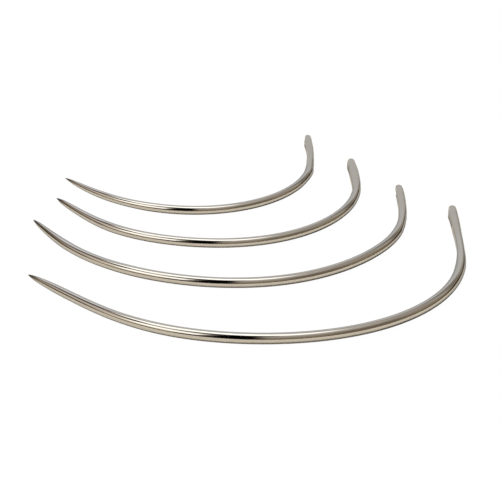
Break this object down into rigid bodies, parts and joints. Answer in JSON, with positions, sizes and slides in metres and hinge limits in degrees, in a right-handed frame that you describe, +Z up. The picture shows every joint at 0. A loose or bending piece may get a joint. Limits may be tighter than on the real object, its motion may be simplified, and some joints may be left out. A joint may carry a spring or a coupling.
{
  "type": "curved sewing needle set",
  "caption": "Graded loose set of curved hand-sewing needles in bright plated steel: round wire bent to a C, with a ground point at one end and a pressed, slotted eye at the other.",
  "frame": {"origin": "on the surface the needles lie on, under the middle of the set's bounding box", "axes": "+Z up, square to the plane of the curves; +Y from the longest needle towards the shortest, along the eye ends; +X from the points towards the eye ends"},
  "size_m": [0.0636, 0.074, 0.0016],
  "materials": {
    "plated_steel": "polished nickel plate over hardened steel wire, slightly satin at the pressed eye end"
  },
  "bodies": {
    "needle_102mm": {"needle_102mm": "plated_steel"},
    "needle_88mm": {"needle_88mm": "plated_steel"},
    "needle_75mm": {"needle_75mm": "plated_steel"},
    "needle_65mm": {"needle_65mm": "plated_steel"}
  },
  "joints": [
    {"name": "needle_88mm_lift", "type": "slide", "parent": "needle_102mm", "child": "needle_88mm", "axis": [0, 0, 1], "range_m": [0, 0.06]},
    {"name": "needle_75mm_lift", "type": "slide", "parent": "needle_102mm", "child": "needle_75mm", "axis": [0, 0, 1], "range_m": [0, 0.06]},
    {"name": "needle_65mm_lift", "type": "slide", "parent": "needle_102mm", "child": "needle_65mm", "axis": [0, 0, 1], "range_m": [0, 0.06]}
  ]
}
